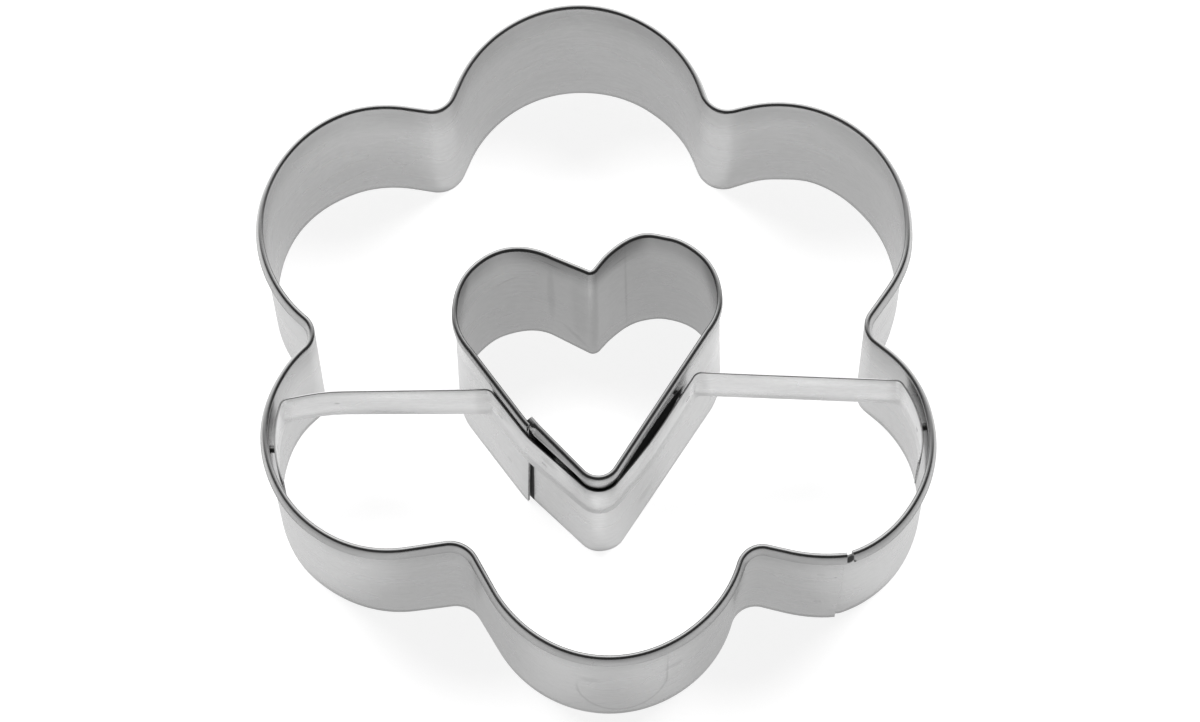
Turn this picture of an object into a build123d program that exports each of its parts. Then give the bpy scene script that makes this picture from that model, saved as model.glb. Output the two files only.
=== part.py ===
from build123d import *
import math
import os

# Cookie cutter: a six-lobed flower band and a heart band of folded sheet steel, joined by one bent strap.
# All lengths are millimetres. The cutting edges stand on z = 0, the folded rims are on top and the
# lap seam of the flower faces -Y. The part is centred on its own bounding box in X and Y.

# Sheet and folds
sheet = 0.30
strap_sheet = 0.30
hem_gap = 0.08
flower_hem_depth = 1.75
heart_hem_depth = 1.20

# Lap seams: clearance between the two layers and notch between the ends of the folded rim
lap_gap = 0.04
hem_notch = 0.35

# Heights: the heart rises above the rim of the flower, and the strap hangs below it
flower_height = 22.5
heart_rise = 1.9
strap_height = 7.2
strap_drop = 1.7

# Flower outline, counter-clockwise from the lobe with the seam. Each lobe has the angle and distance of
# its centre and its radius, and the valley after it has its radius and the straight run on each side
flower_pitch = 22.0
lobe_names = ("lower_right", "upper_right", "top", "upper_left", "lower_left", "bottom")
lobe_angles = (330.6, 30.0, 93.4, 152.0, 208.1, 273.6)
lobe_distance_shares = (1.096, 0.958, 0.943, 1.044, 1.025, 0.934)
lobe_radius_shares = (0.521, 0.565, 0.567, 0.555, 0.535, 0.576)
valley_radius_shares = (0.112, 0.126, 0.118, 0.112, 0.136, 0.116)
valley_run_shares = (0.115, 0.055, 0.080, 0.015, 0.170, 0.030)

# Flower lap seam on the lower right lobe, as angles about the lobe centre
flower_lap_start_angle = -98.0
flower_lap_end_angle = -75.0

# Heart outline: x, y and radius of each arc as shares of the heart width
heart_width = 26.0
tip_shares = (0.010, -0.538, 0.085)
right_lobe_shares = (0.237, 0.080, 0.241)
cleft_shares = (-0.008, 0.209, 0.033)
left_lobe_shares = (-0.275, 0.030, 0.250)
flank_bend_shares = (0.076, -0.114, 0.443)

# Heart lap seam on the bend of the left flank: straight lap before the bend and angle of the outer end
heart_lap_run = 4.2
heart_lap_end_angle = 223.0

# Strap: clearances to the walls, bends, and where it leaves the lobes and the heart flanks
tab_gap = 0.05
flank_gap = 0.15
corner_radius = 0.90
sweep_radius = 20.0
sweep_drop = 0.75
curl_radius = 6.8
left_tab_end_angle = 202.6
left_tab_corner_angle = 162.6
right_tab_corner_angle = 33.8
right_tab_curl_angle = 8.0
right_curl_end_angle = -21.5
left_corner_share = 0.43
right_corner_share = 0.78

# Spot welds: nugget diameter and how far its ends lie below the sheet faces
weld_diameter = 1.3
weld_recess = 0.04
flower_weld_angle = -82.0
upper_weld_share = 0.69
lower_weld_share = 0.26
heart_weld_share = 0.80
heart_weld_height_share = 0.26
strap_weld_height_share = 0.50
left_flank_weld_share = 0.65
seam_flank_weld_share = 0.25
right_flank_weld_share = 0.70
left_tab_weld_angle = 180.0
right_tab_weld_angle = 14.0

# Straights shorter than this are left out of a route
least_run = 0.001

# From an angle of an arc to the heading of a route that passes there
right_angle = 90

# Derived sizes
heart_height = flower_height + heart_rise
fold_width = 2 * sheet + hem_gap
lap_step = (sheet + lap_gap) / 2
strap_top = flower_height - strap_drop
strap_bottom = strap_top - strap_height
strap_weld_height = strap_bottom + strap_weld_height_share * strap_height


def cos_deg(angle):
    return math.cos(math.radians(angle))


def sin_deg(angle):
    return math.sin(math.radians(angle))


# Routes in plan are chains of arcs. An arc is (x, y, radius), with a minus radius where the route turns
# clockwise round it. A heading is the direction of travel in degrees.

def tangent(first, second):
    """Heading and length of the straight from one arc to the next, none where the arcs touch."""
    dx, dy = second[0] - first[0], second[1] - first[1]
    step = first[2] - second[2]
    run = math.sqrt(max(dx * dx + dy * dy - step * step, 0))
    return math.degrees(math.atan2(dy, dx) + math.atan2(step, run)), run


def right_of(heading):
    """Unit vector to the right of a route."""
    return Vector(sin_deg(heading), -cos_deg(heading))


def on_arc(arc, heading, outward=0):
    """Point of an arc where the route has this heading, moved to the right of the route."""
    return Vector(arc[0], arc[1]) + right_of(heading) * (arc[2] + outward)


def on_straight(first, second, share, outward=0):
    """Point at a share of the straight between two arcs, moved to the right of the route."""
    heading, run = tangent(first, second)
    return on_arc(first, heading, outward) + Vector(cos_deg(heading), sin_deg(heading)) * (run * share)


def route(arcs, start_heading, end_heading, lead_in=0):
    """Wire along the arcs and the straights between them, after a straight lead-in."""
    edges = []
    heading = start_heading
    pen = on_arc(arcs[0], heading)
    if lead_in > 0:
        edges.append(Line(pen - Vector(cos_deg(heading), sin_deg(heading)) * lead_in, pen))
    for index, arc in enumerate(arcs):
        last = index == len(arcs) - 1
        leaving, run = (end_heading, 0) if last else tangent(arc, arcs[index + 1])
        turn = (leaving - heading) % 360 if arc[2] > 0 else -((heading - leaving) % 360)
        end = on_arc(arc, leaving)
        edges.append(ThreePointArc(pen, on_arc(arc, heading + turn / 2), end))
        pen = end
        if run > least_run:
            pen = on_arc(arcs[index + 1], leaving)
            edges.append(Line(end, pen))
        heading = leaving
    return Wire([edge for item in edges for edge in item.edges()])


# Cross-sections stand at the start of a route, with x to the right of it and y up

def section_plane(path):
    along = path.tangent_at(0)
    return Plane(origin=path.position_at(0), x_dir=along.cross(Vector(0, 0, 1)), z_dir=-along)


def plain_strip(path, thickness, bottom, top):
    """Flat strip on edge, swept along a route."""
    half = thickness / 2
    outline = Polyline((-half, bottom), (half, bottom), (half, top), (-half, top), close=True)
    section = section_plane(path) * make_face(outline)
    return Solid.sweep(section.face(), path)


def hemmed_strip(path, height, hem_depth):
    """Strip with its top edge folded outward and pressed down on itself, swept along a route."""
    half = sheet / 2
    spring = height - fold_width / 2
    crown = fold_width / 2 - half
    hem_in = half + hem_gap
    hem_out = hem_in + sheet
    hem_end = height - hem_depth
    outline = [
        Line((-half, 0), (half, 0)),
        Line((half, 0), (half, spring)),
        ThreePointArc((half, spring), (crown, spring + hem_gap / 2), (hem_in, spring)),
        Line((hem_in, spring), (hem_in, hem_end)),
        Line((hem_in, hem_end), (hem_out, hem_end)),
        Line((hem_out, hem_end), (hem_out, spring)),
        ThreePointArc((hem_out, spring), (crown, height), (-half, spring)),
        Line((-half, spring), (-half, 0)),
    ]
    section = section_plane(path) * make_face(outline)
    return Solid.sweep(section.face(), path)


# Bands: one strip each, bent to its outline, with its far end lapped over its start

def lap_arcs(arc):
    """The seam arc for the inner and for the outer layer of the lap."""
    x, y, radius = arc
    return (x, y, radius - lap_step), (x, y, radius + lap_step)


def lapped_band(arcs, start_heading, end_heading, height, hem_depth, lead_in=0):
    """Band along arcs whose first and last are the inner and outer layer of the lap."""
    inner = arcs[0]
    hem_start = end_heading + math.degrees(hem_notch / inner[2])
    tongue_path = route([inner], start_heading, hem_start, lead_in)
    tongue = plain_strip(tongue_path, sheet, 0, height - fold_width / 2)
    return tongue + hemmed_strip(route(arcs, hem_start, end_heading), height, hem_depth)


def lobe_arc(name):
    lobe = lobe_names.index(name)
    angle = lobe_angles[lobe]
    distance = lobe_distance_shares[lobe] * flower_pitch
    return (distance * cos_deg(angle), distance * sin_deg(angle), lobe_radius_shares[lobe] * flower_pitch)


seam_lobe = lobe_arc("lower_right")
seam_lobe_inner, seam_lobe_outer = lap_arcs(seam_lobe)


def valley_arc(before, after, radius, run):
    """Arc outside two lobes that meets each of them through a straight run."""
    first = math.hypot(before[2] + radius, run)
    second = math.hypot(after[2] + radius, run)
    dx, dy = after[0] - before[0], after[1] - before[1]
    span = math.hypot(dx, dy)
    along = (first * first - second * second + span * span) / (2 * span)
    aside = math.sqrt(first * first - along * along)
    x = before[0] + (along * dx + aside * dy) / span
    y = before[1] + (along * dy - aside * dx) / span
    return (x, y, -radius)


def flower_arcs():
    """Lobes and valleys, counter-clockwise from the inner to the outer layer of the lap."""
    lobes = [seam_lobe_inner] + [lobe_arc(name) for name in lobe_names[1:]] + [seam_lobe_outer]
    arcs = []
    for lobe, following, radius, run in zip(lobes, lobes[1:], valley_radius_shares, valley_run_shares):
        arcs += [lobe, valley_arc(lobe, following, radius * flower_pitch, run * flower_pitch)]
    return arcs + [seam_lobe_outer]


def flower_band():
    start, end = flower_lap_start_angle + right_angle, flower_lap_end_angle + right_angle
    return lapped_band(flower_arcs(), start, end, flower_height, flower_hem_depth)


def heart_arc(shares, sense=1):
    return (shares[0] * heart_width, shares[1] * heart_width, sense * shares[2] * heart_width)


tip = heart_arc(tip_shares)
right_lobe = heart_arc(right_lobe_shares)
cleft = heart_arc(cleft_shares, -1)
left_lobe = heart_arc(left_lobe_shares)
bend_inner, bend_outer = lap_arcs(heart_arc(flank_bend_shares))


def heart_band():
    start, run = tangent(left_lobe, bend_outer)
    arcs = [bend_inner, tip, right_lobe, cleft, left_lobe, bend_outer]
    end = heart_lap_end_angle + right_angle
    return lapped_band(arcs, start, end, heart_height, heart_hem_depth, heart_lap_run)


# Strap: tab in the lower left lobe, span, down and up the outside of the heart, span, tab in the
# lower right lobe with its end curled off the wall

def tab_arc(lobe):
    """Clockwise arc of the strap along the inside of a lobe wall."""
    return (lobe[0], lobe[1], -(lobe[2] - sheet / 2 - tab_gap - strap_sheet / 2))


def inscribed(arc, angle, radius):
    """Smaller clockwise arc that touches a clockwise arc from inside at this angle."""
    reach = -arc[2] - radius
    return (arc[0] + reach * cos_deg(angle), arc[1] + reach * sin_deg(angle), -radius)


def offset(arc, outward):
    """The same arc, moved to the right of the route."""
    return (arc[0], arc[1], arc[2] + outward)


def corner(first, second, share, outward):
    """Clockwise corner arc on the outside of a flank of the heart."""
    middle = on_straight(first, second, share, outward + corner_radius)
    return (middle.X, middle.Y, -corner_radius)


on_heart = (sheet + strap_sheet) / 2
off_heart = on_heart + flank_gap
left_tab = tab_arc(lobe_arc("lower_left"))
right_tab = tab_arc(seam_lobe_inner)
left_tab_bend = inscribed(left_tab, left_tab_corner_angle, corner_radius)
right_tab_bend = inscribed(right_tab, right_tab_corner_angle, corner_radius)
right_curl = inscribed(right_tab, right_tab_curl_angle, curl_radius)
left_corner = corner(left_lobe, bend_outer, left_corner_share, on_heart)
right_corner = corner(tip, right_lobe, right_corner_share, off_heart)
strap_bend = offset(bend_outer, on_heart)
strap_tip = offset(tip, off_heart)


def sweep_arc():
    """Wide clockwise arc, tangent to the tab bend, that settles the left span down towards the tab."""
    raised = offset(left_tab_bend, -sweep_drop)
    heading, run = tangent(raised, left_corner)
    aside = sweep_radius + raised[2]
    reach = sweep_radius - corner_radius
    along = math.sqrt(reach * reach - aside * aside)
    middle = Vector(raised[0], raised[1]) + right_of(heading) * aside
    middle += Vector(cos_deg(heading), sin_deg(heading)) * along
    return (middle.X, middle.Y, -sweep_radius)


def bridge_strap():
    arcs = [left_tab, left_tab_bend, sweep_arc(), left_corner, strap_bend, strap_tip]
    arcs += [right_corner, right_tab_bend, right_tab, right_curl]
    path = route(arcs, left_tab_end_angle - right_angle, right_curl_end_angle - right_angle)
    return plain_strip(path, strap_sheet, strap_bottom, strap_top)


# Spot welds: each nugget runs through its stack of sheets and fills a hole in them

def across(point, heading, inner, outer, height):
    """Cylinder through a wall, between two distances to the right of its centre line."""
    normal = right_of(heading)
    plane = Plane(origin=point + normal * inner + Vector(0, 0, height), x_dir=(0, 0, 1), z_dir=normal)
    low_end = (Align.CENTER, Align.CENTER, Align.MIN)
    return plane * Cylinder(weld_diameter / 2, outer - inner, align=low_end)


def weld(point, heading, inner, outer, height):
    """A nugget with its ends below the outer faces, and the longer cutter of its hole."""
    nugget = across(point, heading, inner + weld_recess, outer - weld_recess, height)
    return nugget, across(point, heading, inner - sheet, outer + sheet, height)


def lobe_weld(lobe, angle, inner, outer, height):
    heading = angle + right_angle
    return weld(on_arc(lobe, heading), heading, inner, outer, height)


def flank_weld(first, second, share, inner, outer, height):
    heading, run = tangent(first, second)
    return weld(on_straight(first, second, share), heading, inner, outer, height)


def seam_flank_reach():
    """From the flank below the heart seam to the outer face of the strap there."""
    point = on_straight(bend_inner, tip, seam_flank_weld_share)
    heading, run = tangent(bend_inner, tip)
    strap_heading, strap_run = tangent(strap_bend, strap_tip)
    face = on_arc(strap_bend, strap_heading, strap_sheet / 2)
    normal = right_of(strap_heading)
    return (face - point).dot(normal) / right_of(heading).dot(normal)


def spot_welds():
    """Name, pieces joined, and nugget with cutter of each spot weld."""
    half = sheet / 2
    layers = sheet + lap_gap / 2
    lap_inside = -half - lap_gap - sheet
    strap_inside = -half - tab_gap - strap_sheet
    strap_outside = half + strap_sheet
    upper, lower = upper_weld_share * flower_height, lower_weld_share * flower_height
    heart_level = heart_weld_height_share * heart_height
    level = strap_weld_height
    left_lobe_wall = lobe_arc("lower_left")
    flower, heart, strap = "flower_band", "heart_band", "bridge_strap"
    return [
        ("flower_seam_weld_upper", [flower], lobe_weld(seam_lobe, flower_weld_angle, -layers, layers, upper)),
        ("flower_seam_weld_lower", [flower], lobe_weld(seam_lobe, flower_weld_angle, -layers, layers, lower)),
        ("heart_seam_weld", [heart],
         flank_weld(left_lobe, bend_outer, heart_weld_share, lap_inside, half, heart_level)),
        ("strap_weld_left", [heart, strap],
         flank_weld(left_lobe, bend_outer, left_flank_weld_share, lap_inside, strap_outside, level)),
        ("strap_weld_seam", [heart, strap],
         flank_weld(bend_inner, tip, seam_flank_weld_share, -half, seam_flank_reach(), level)),
        ("strap_weld_right", [heart, strap],
         flank_weld(tip, right_lobe, right_flank_weld_share, -half, strap_outside + flank_gap, level)),
        ("left_tab_weld", [flower, strap],
         lobe_weld(left_lobe_wall, left_tab_weld_angle, strap_inside, half, level)),
        ("right_tab_weld", [flower, strap],
         lobe_weld(seam_lobe_inner, right_tab_weld_angle, strap_inside, half, level)),
    ]


# Assembly

def build_pieces():
    pieces = {
        "flower_band": flower_band(),
        "heart_band": heart_band(),
        "bridge_strap": bridge_strap(),
    }
    for name, joined, (nugget, cutter) in spot_welds():
        for strip in joined:
            pieces[strip] = pieces[strip] - cutter
        pieces[name] = nugget
    return pieces


def centred(pieces):
    """Move every piece alike, so that the whole is centred in X and Y."""
    boxes = [piece.bounding_box() for piece in pieces.values()]
    middle_x = (min(box.min.X for box in boxes) + max(box.max.X for box in boxes)) / 2
    middle_y = (min(box.min.Y for box in boxes) + max(box.max.Y for box in boxes)) / 2
    return {name: Pos(-middle_x, -middle_y) * piece for name, piece in pieces.items()}


os.makedirs("parts", exist_ok=True)
for node, shape in centred(build_pieces()).items():
    export_step(shape, f"parts/{node}.step")
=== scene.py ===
"""Looks of the cookie cutter: a flower band and a heart band of folded sheet steel, joined by a strap.

The bands, the strap and the spot welds are modelled in millimetres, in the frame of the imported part, and
brought to metres when each piece is finished.
"""

import logging
import math
from dataclasses import dataclass, field
from enum import Enum
from typing import Callable

import bmesh
import bpy
from mathutils import Matrix, Vector


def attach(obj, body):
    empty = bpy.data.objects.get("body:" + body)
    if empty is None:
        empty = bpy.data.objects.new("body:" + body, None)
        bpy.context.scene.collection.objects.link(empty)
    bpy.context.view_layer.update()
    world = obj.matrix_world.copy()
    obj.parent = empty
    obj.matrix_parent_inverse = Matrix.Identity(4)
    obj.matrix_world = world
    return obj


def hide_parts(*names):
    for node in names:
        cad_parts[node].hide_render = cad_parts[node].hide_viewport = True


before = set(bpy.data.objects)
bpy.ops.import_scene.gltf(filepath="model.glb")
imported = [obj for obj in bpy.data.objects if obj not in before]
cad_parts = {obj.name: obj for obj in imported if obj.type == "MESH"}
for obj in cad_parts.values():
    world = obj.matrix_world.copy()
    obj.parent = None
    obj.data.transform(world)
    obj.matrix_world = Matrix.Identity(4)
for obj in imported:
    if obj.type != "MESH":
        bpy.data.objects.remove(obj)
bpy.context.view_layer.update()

# Lengths are in millimetres until a piece is finished; DRAWN_TO keeps the leaning rims inside the CAD box
MILLIMETRE = 0.001
DRAWN_TO = 0.9875
SCALE = MILLIMETRE * DRAWN_TO
TOUCHING = 0.002
MERGED_WITHIN = TOUCHING / 4
LEAST_RUN = 0.001
NOWHERE = 99.0
CORNER_SEGMENTS = 2
SMOOTH_BELOW = 35.0
END_FACING = 0.8
FLAT_FACING = 0.9
STRIP = "strip"
# Marks darker than this are painted black shadow, which also dulls the metal
BLACK_BELOW = 0.2
log = logging.getLogger("cookie_cutter")


class Element(Enum):
    """What an edit-mode selection picks, with the name of its list in a mesh being edited."""

    VERTEX = "verts"
    EDGE = "edges"
    FACE = "faces"

    @property
    def mode(self) -> str:
        """Name of Blender's select mode."""
        return {"verts": "VERT", "edges": "EDGE", "faces": "FACE"}[self.value]


def cos_deg(angle: float) -> float:
    """Cosine of an angle in degrees."""
    return math.cos(math.radians(angle))


def sin_deg(angle: float) -> float:
    """Sine of an angle in degrees."""
    return math.sin(math.radians(angle))


def way_of(heading: float) -> Vector:
    """Unit vector along a heading in degrees."""
    return Vector((cos_deg(heading), sin_deg(heading), 0))


def right_of(heading: float) -> Vector:
    """Unit vector to the right of a heading in degrees."""
    return Vector((sin_deg(heading), -cos_deg(heading), 0))


def held(share: float) -> float:
    """Share held between 0 and 1."""
    return min(max(share, 0), 1)


def eased(share: float) -> float:
    """Share from 0 to 1 with a soft start and a soft end."""
    return share * share * (3 - 2 * share)


# Routes in plan


@dataclass(frozen=True)
class Arc:
    """One bend of a route in plan, in millimetres.

    A minus radius turns the route clockwise round the centre.
    """

    x: float
    y: float
    radius: float

    def at(self, heading: float) -> Vector:
        """Point of the bend where the route has this heading, in degrees."""
        return Vector((self.x + self.radius * sin_deg(heading), self.y - self.radius * cos_deg(heading), 0))

    def tangent_to(self, other: "Arc") -> tuple[float, float]:
        """Straight from this bend to the next one.

        Args:
            other: The next bend of the route.

        Returns:
            Heading in degrees and length in millimetres.
        """
        dx, dy = other.x - self.x, other.y - self.y
        step = self.radius - other.radius
        run = math.sqrt(max(dx * dx + dy * dy - step * step, 0))
        return math.degrees(math.atan2(dy, dx) + math.atan2(step, run)), run


@dataclass(frozen=True)
class Leg:
    """A straight or an arc of a route: where and how it starts, how it turns and how long it is."""

    start: Vector
    heading: float
    length: float
    begins: float
    turn: float = 0.0
    centre: Vector | None = None

    def locate(self, point: Vector) -> tuple[float, float, float, float]:
        """Nearest place of this leg's line to a point in plan.

        Args:
            point: Any point; its height is ignored.

        Returns:
            Distance from the line, distance along the whole route, heading there and distance to the right
            of the line, in millimetres and degrees.
        """
        flat = Vector((point.x, point.y, 0))
        if self.centre is None:
            way = way_of(self.heading)
            share = held((flat - self.start).dot(way) / self.length)
            heading, on_line = self.heading, self.start + way * share * self.length
        else:
            arm, reach = self.start - self.centre, flat - self.centre
            swept = math.degrees(math.atan2(reach.y, reach.x) - math.atan2(arm.y, arm.x))
            swept = (swept * math.copysign(1, self.turn) + 90) % 360 - 90
            share = held(swept / abs(self.turn))
            heading = self.heading + self.turn * share
            on_line = self.centre + Matrix.Rotation(math.radians(self.turn * share), 3, "Z") @ arm
        off = flat - on_line
        return (off.length, self.begins + share * self.length, heading,
                off.x * sin_deg(heading) - off.y * cos_deg(heading))


class Route:
    """A chain of tangent bends in plan, walked from a start heading to an end heading."""

    def __init__(self, arcs: list[Arc], start: float, end: float, lead_in: float = 0.0) -> None:
        """Lay the legs.

        Args:
            arcs: The bends in order.
            start: Heading on the first bend, in degrees.
            end: Heading on the last bend, in degrees.
            lead_in: Length of the straight before the first bend.
        """
        self.legs: list[Leg] = []
        self.length = 0.0
        heading = start
        if lead_in:
            self._add(arcs[0].at(start) - way_of(start) * lead_in, start, lead_in)
        for index, arc in enumerate(arcs):
            last = index == len(arcs) - 1
            leaving, run = (end, 0.0) if last else arc.tangent_to(arcs[index + 1])
            turn = (leaving - heading) % 360 if arc.radius > 0 else -((heading - leaving) % 360)
            centre = Vector((arc.x, arc.y, 0))
            self._add(arc.at(heading), heading, abs(arc.radius * math.radians(turn)), turn, centre)
            if run > LEAST_RUN:
                self._add(arc.at(leaving), leaving, run)
            heading = leaving

    def _add(self, start: Vector, heading: float, length: float, turn: float = 0.0,
             centre: Vector | None = None) -> None:
        """Add a leg after the last one."""
        self.legs.append(Leg(start, heading, length, self.length, turn, centre))
        self.length += length

    def locate(self, point: Vector) -> tuple[float, float, float]:
        """Distance along the route, heading and distance to its right, at the place nearest to a point."""
        return min(leg.locate(point) for leg in self.legs)[1:]


# The bench: meshes shaped with edit-mode operators, in millimetres


class Workpiece:
    """A mesh in the making. Its operators act on what was last selected by place."""

    def __init__(self, name: str, width: float, bottom: float, top: float) -> None:
        """Add the first face, a rectangle that stands on edge in the XZ plane, and open it for editing.

        Args:
            name: Name of the finished piece.
            width: Width in X, centred on 0.
            bottom: Lower edge.
            top: Upper edge.
        """
        if bpy.context.object and bpy.context.object.mode != "OBJECT":
            bpy.ops.object.mode_set(mode="OBJECT")
        bpy.ops.object.select_all(action="DESELECT")
        bpy.ops.mesh.primitive_plane_add(
            size=1, location=(0, 0, (bottom + top) / 2), rotation=(math.pi / 2, 0, 0))
        self.object = bpy.context.object
        self.object.name = self.object.data.name = name
        self.object.scale = (width, top - bottom, 1)
        bpy.ops.object.transform_apply(location=True, rotation=True, scale=True)
        bpy.ops.object.mode_set(mode="EDIT")

    def select(self, element: Element, test: Callable[[Vector], bool]) -> None:
        """Select every vertex, edge or face of which all the vertices pass a test of place.

        Args:
            element: What to select.
            test: Says whether a vertex at this place counts.
        """
        bpy.ops.mesh.select_mode(type=element.mode)
        bpy.ops.mesh.select_all(action="DESELECT")
        self.add_selection(element, test)

    def select_all_faces(self) -> None:
        """Select the whole section, as a face."""
        bpy.ops.mesh.select_mode(type=Element.FACE.mode)
        bpy.ops.mesh.select_all(action="SELECT")

    def add_selection(self, element: Element, test: Callable[[Vector], bool]) -> None:
        """Select more besides what is selected.

        Args:
            element: What to select.
            test: Says whether a vertex at this place counts.
        """
        mesh = bmesh.from_edit_mesh(self.object.data)
        for item in getattr(mesh, element.value):
            places = [item.co] if element is Element.VERTEX else [vertex.co for vertex in item.verts]
            if all(test(place) for place in places):
                item.select_set(True)
        bmesh.update_edit_mesh(self.object.data)

    def spin(self, angle: float, steps: int, centre: Vector, axis: Vector) -> None:
        """Sweep the selection round an axis, by the right-hand rule.

        Args:
            angle: Angle in degrees.
            steps: How many steps it takes.
            centre: A point of the axis.
            axis: Direction of the axis.
        """
        bpy.ops.mesh.spin(steps=steps, angle=-math.radians(angle), center=centre, axis=axis)

    def extrude(self, move: Vector) -> None:
        """Extrude the selection by a straight move."""
        bpy.ops.mesh.extrude_region_move(TRANSFORM_OT_translate={"value": move})

    def round_corners(self, test: Callable[[Vector], bool], radius: float) -> None:
        """Round the corners of a flat section whose vertices pass a test of place."""
        self.select(Element.VERTEX, test)
        bpy.ops.mesh.bevel(offset=radius, segments=CORNER_SEGMENTS, affect="VERTICES")

    def stand_at(self, place: Vector, heading: float) -> None:
        """Turn a section modelled across +Y and set it down.

        Args:
            place: Where the section's origin goes.
            heading: Heading that the section then faces, in degrees.
        """
        bpy.ops.object.mode_set(mode="OBJECT")
        self.object.rotation_euler.z = math.radians(heading - 90)
        self.object.location = place
        bpy.ops.object.transform_apply(location=True, rotation=True, scale=True)
        bpy.ops.object.mode_set(mode="EDIT")

    def sweep(self, legs: list[Leg], step: float, sense: int = 1) -> None:
        """Carry the selected section along legs from where it stands, onwards or backwards.

        Args:
            legs: The legs in the order of the sweep.
            step: Longest step round a bend, in degrees.
            sense: 1 along the route and -1 backwards.
        """
        for leg in legs:
            if leg.centre is None:
                self.extrude(way_of(leg.heading) * leg.length * sense)
            else:
                self.spin(leg.turn * sense, math.ceil(abs(leg.turn) / step), leg.centre, Vector((0, 0, 1)))

    def finish(self) -> bpy.types.Object:
        """Close the mesh, bring it to metres and shade it.

        Returns:
            The finished object, at the origin.
        """
        bpy.ops.mesh.select_all(action="SELECT")
        bpy.ops.mesh.remove_doubles(threshold=MERGED_WITHIN)
        bpy.ops.mesh.normals_make_consistent(inside=False)
        bpy.ops.object.mode_set(mode="OBJECT")
        self.object.scale = (SCALE,) * 3
        bpy.ops.object.transform_apply(location=True, rotation=True, scale=True)
        bpy.ops.object.shade_smooth_by_angle(angle=math.radians(SMOOTH_BELOW))
        return self.object


# Finishes


@dataclass(frozen=True)
class Mark:
    """One mark on a strip, at its place on the strip in millimetres: a smudge, a scuff or a scratch of use,
    or a patch of painted shade, shadow or highlight.

    A hollow mark is a scratch along the lower edge of its outline. Side 1 marks the outer face alone and
    side -1 the inner face alone. A mark with a shade under BLACK_BELOW is painted black shadow, which hides
    the metal.
    """

    along: float
    height: float
    half_length: float
    half_height: float
    shade: float
    turn: float = 0.0
    soft: float = 0.5
    hollow: float = 0.0
    side: int = 0


@dataclass(frozen=True)
class Noise:
    """Noise on a strip's own place: its fineness along, up and across the strip, its shift and its kind."""

    fineness: tuple[float, float, float]
    shift: tuple[float, float, float] = (0.0, 0.0, 0.0)
    detail: float = 3.0
    roughness: float = 0.6


MOTTLE = Noise((1.10, 1.40, 1.0))
STREAKS = Noise((0.22, 2.40, 1.0), (5.0, 1.0, 0.0), 2.0, 0.5)
CLOUDS = Noise((0.10, 0.16, 1.0), (7.0, 3.0, 0.0), 2.0, 0.5)
RAGGED = Noise((2.20, 2.20, 1.0), (3.0, 8.0, 0.0))
TORN = Noise((1.60, 1.60, 5.0))
# Layers of the grain with their shares of its tone and its relief; the last one also dulls the metal
GRAIN_LAYERS = ((MOTTLE, 0.16, 0.0), (STREAKS, 0.12, 0.6), (CLOUDS, 0.20, 1.6))
GRAIN_TONE = 0.76
NOISE_SPREAD = (0.3, 0.7)
LOWER_HALF = (-0.3, 0.4)


@dataclass(frozen=True)
class SheetFinish:
    """Bright rolled sheet steel, with its grain along the strip.

    The shades are shares of the plain colour: painted shade on the inside of the wall, a darker hem, a
    painted highlight on the hem's lip and painted shade just under the fold. Heights and distances are in
    millimetres.
    """

    name: str
    plain: float
    # painted shade on the inner face, where below 1
    inside: float = 1.0
    hem: float = 1.0
    # painted highlight on the hem's lip, where above 1
    lip: float = 1.0
    # painted shade just under the top edge, over fold_shade millimetres
    painted_shade_under_fold: float = 1.0
    fold_shade: float = 5.0
    rim: float = NOWHERE
    hem_foot: float = NOWHERE
    hem_face: float = NOWHERE
    hem_blend: float = 0.06
    face_blend: float = 0.04
    lip_from: float = 0.10
    lip_to: float = 0.34
    roughness: float = 0.26
    brighter: float = 0.04
    duller: float = 0.05
    grain_bump: float = 0.10
    grain_relief: float = 0.04
    marks: tuple[Mark, ...] = ()


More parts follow.
